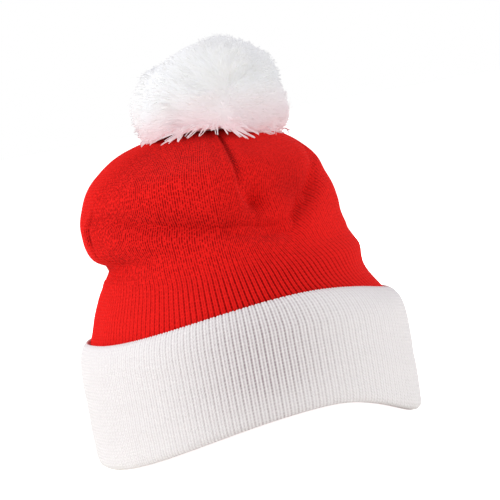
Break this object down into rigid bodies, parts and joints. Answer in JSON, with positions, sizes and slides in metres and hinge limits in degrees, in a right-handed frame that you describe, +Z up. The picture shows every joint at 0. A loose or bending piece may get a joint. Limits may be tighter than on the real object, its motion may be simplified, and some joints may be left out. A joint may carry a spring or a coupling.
{
  "type": "knitted Christmas beanie with a turned-up cuff and a pompom",
  "caption": "Red rib-knit beanie with a slouching crown, a white turned-up cuff and a white yarn pompom, standing on its rim.",
  "frame": {"origin": "on the surface that the rim stands on, under the middle of the cuff", "axes": "+Z up to the pompom, -Y to the wearer's side that the picture shows, the crown slouching to -X"},
  "size_m": [0.208, 0.191, 0.2533],
  "materials": {
    "red_knit": "matte acrylic rib knit",
    "white_knit": "matte acrylic rib knit",
    "white_yarn": "matte cut acrylic yarn"
  },
  "bodies": {
    "root": {"crown": "red_knit", "cuff": "white_knit", "pompom": "white_yarn"}
  },
  "joints": []
}
